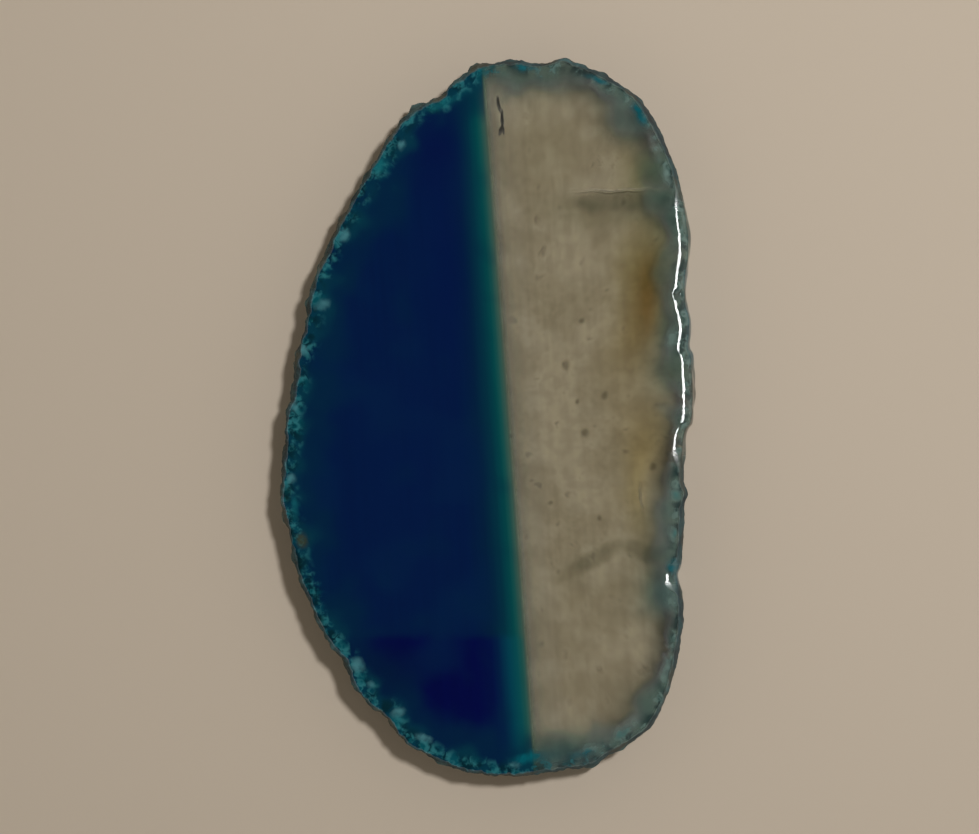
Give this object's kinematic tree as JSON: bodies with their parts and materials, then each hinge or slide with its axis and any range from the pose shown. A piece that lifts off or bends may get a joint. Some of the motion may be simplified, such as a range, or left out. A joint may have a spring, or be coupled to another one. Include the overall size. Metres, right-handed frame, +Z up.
{
  "type": "agate slice",
  "caption": "Thin oval slice of agate with two flat polished faces and a knobbly natural rim, dyed deep blue along its curved side and clear along its straight side.",
  "frame": {"origin": "under the middle of the plate's outline, on the surface it lies on", "axes": "+Z up through the thickness, from the lower face to the upper one; +Y along the length; +X towards the straight, clear side"},
  "size_m": [0.0516, 0.0893, 0.005],
  "materials": {
    "agate": "polished faces, rough natural rim"
  },
  "bodies": {
    "root": {"agate_slice": "agate"}
  },
  "joints": []
}
